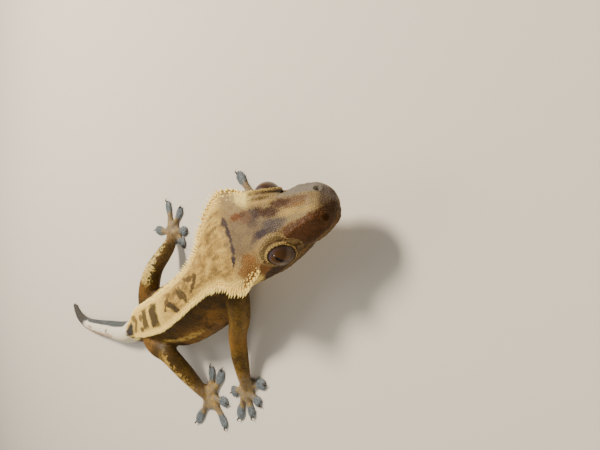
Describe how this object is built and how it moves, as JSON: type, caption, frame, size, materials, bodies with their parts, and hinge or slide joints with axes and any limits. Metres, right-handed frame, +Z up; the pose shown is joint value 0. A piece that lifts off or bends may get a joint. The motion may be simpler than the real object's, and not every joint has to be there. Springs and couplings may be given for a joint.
{
  "type": "crested gecko",
  "caption": "Life-size still model of an adult crested gecko standing with splayed feet, head turned up a little and tail laid on the floor.",
  "frame": {"origin": "on the floor under the centre of the model's outline, at the level of the toe pads", "axes": "+Y runs along the body towards the tail, +X to the animal's left, +Z up from the floor"},
  "size_m": [0.0768, 0.1798, 0.0205],
  "materials": {
    "head_skin": "granular scaled skin, satin",
    "body_skin": "granular scaled skin, satin",
    "tail_skin": "smooth scaled skin, satin",
    "limb_skin": "granular scaled skin, satin",
    "foot_skin": "fine scaled skin with slate toe pads, satin",
    "eye": "wet gloss"
  },
  "bodies": {
    "root": {"head": "head_skin", "eye_left": "eye", "eye_right": "eye", "neck": "body_skin", "torso_front": "body_skin", "torso_rear": "body_skin", "tail_base": "tail_skin", "tail_middle": "tail_skin", "tail_tip": "tail_skin", "upper_arm_left": "limb_skin", "forearm_left": "limb_skin", "hand_left": "foot_skin", "upper_arm_right": "limb_skin", "forearm_right": "limb_skin", "hand_right": "foot_skin", "thigh_left": "limb_skin", "shin_left": "limb_skin", "foot_left": "foot_skin", "thigh_right": "limb_skin", "shin_right": "limb_skin", "foot_right": "foot_skin"}
  },
  "joints": []
}
